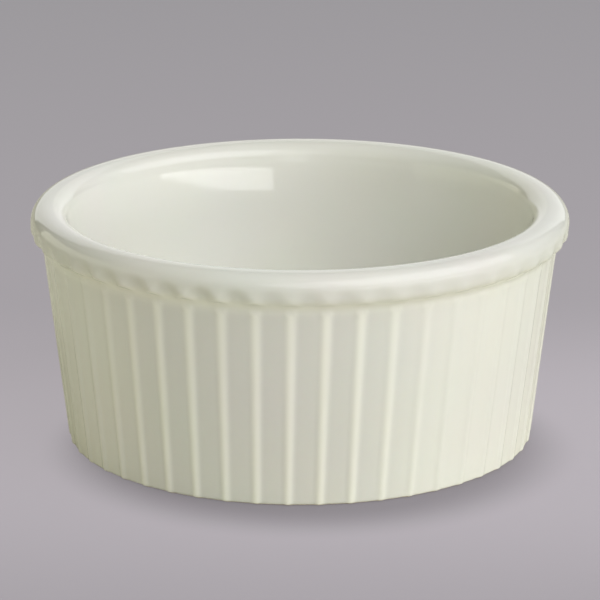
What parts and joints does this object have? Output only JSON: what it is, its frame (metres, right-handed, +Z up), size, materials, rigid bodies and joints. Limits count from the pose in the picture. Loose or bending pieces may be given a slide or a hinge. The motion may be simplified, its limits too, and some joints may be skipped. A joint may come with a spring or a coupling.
{
  "type": "ramekin",
  "caption": "Round fluted ramekin: a stoneware cup with a rolled collar, a pale glossy glaze and a bare foot ring.",
  "frame": {"origin": "middle of the foot ring, on the surface the ramekin stands on", "axes": "+Z up along the axis of the cup; a ridge between two flutes lies on +X and on +Y"},
  "size_m": [0.09, 0.09, 0.0402],
  "materials": {
    "stoneware": "matte",
    "glaze": "gloss"
  },
  "bodies": {
    "root": {"stoneware_body": "stoneware", "glaze_coat": "glaze", "base_glaze": "glaze"}
  },
  "joints": []
}
